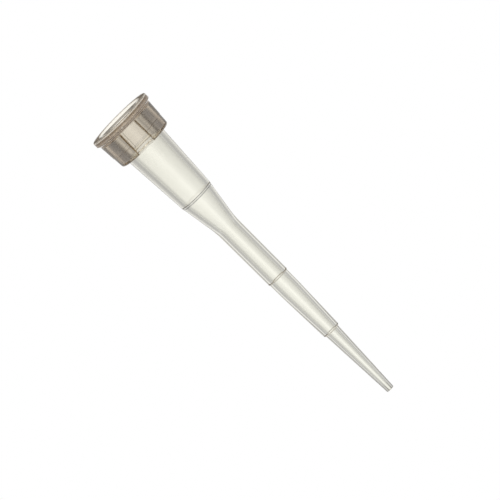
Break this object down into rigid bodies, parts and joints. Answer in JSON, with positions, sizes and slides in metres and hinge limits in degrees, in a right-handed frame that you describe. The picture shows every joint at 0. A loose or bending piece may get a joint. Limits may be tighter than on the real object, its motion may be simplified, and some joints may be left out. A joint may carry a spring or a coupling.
{
  "type": "pipette tip",
  "caption": "Tapered translucent plastic tip for a small pipette, with a flanged collar, a gripping socket, a stepped barrel and stem, and a fine nozzle.",
  "frame": {"origin": "centre of the mouth rim's face, on which the part stands", "axes": "+Z along the tip's axis from the mouth rim to the nozzle end, -Y through the middle of one of the collar's two windows"},
  "size_m": [0.006, 0.006, 0.0321],
  "materials": {
    "tip_polypropylene": "natural translucent polypropylene, smooth on the barrel and fine satin on the collar"
  },
  "bodies": {
    "root": {"pipette_tip": "tip_polypropylene"}
  },
  "joints": []
}
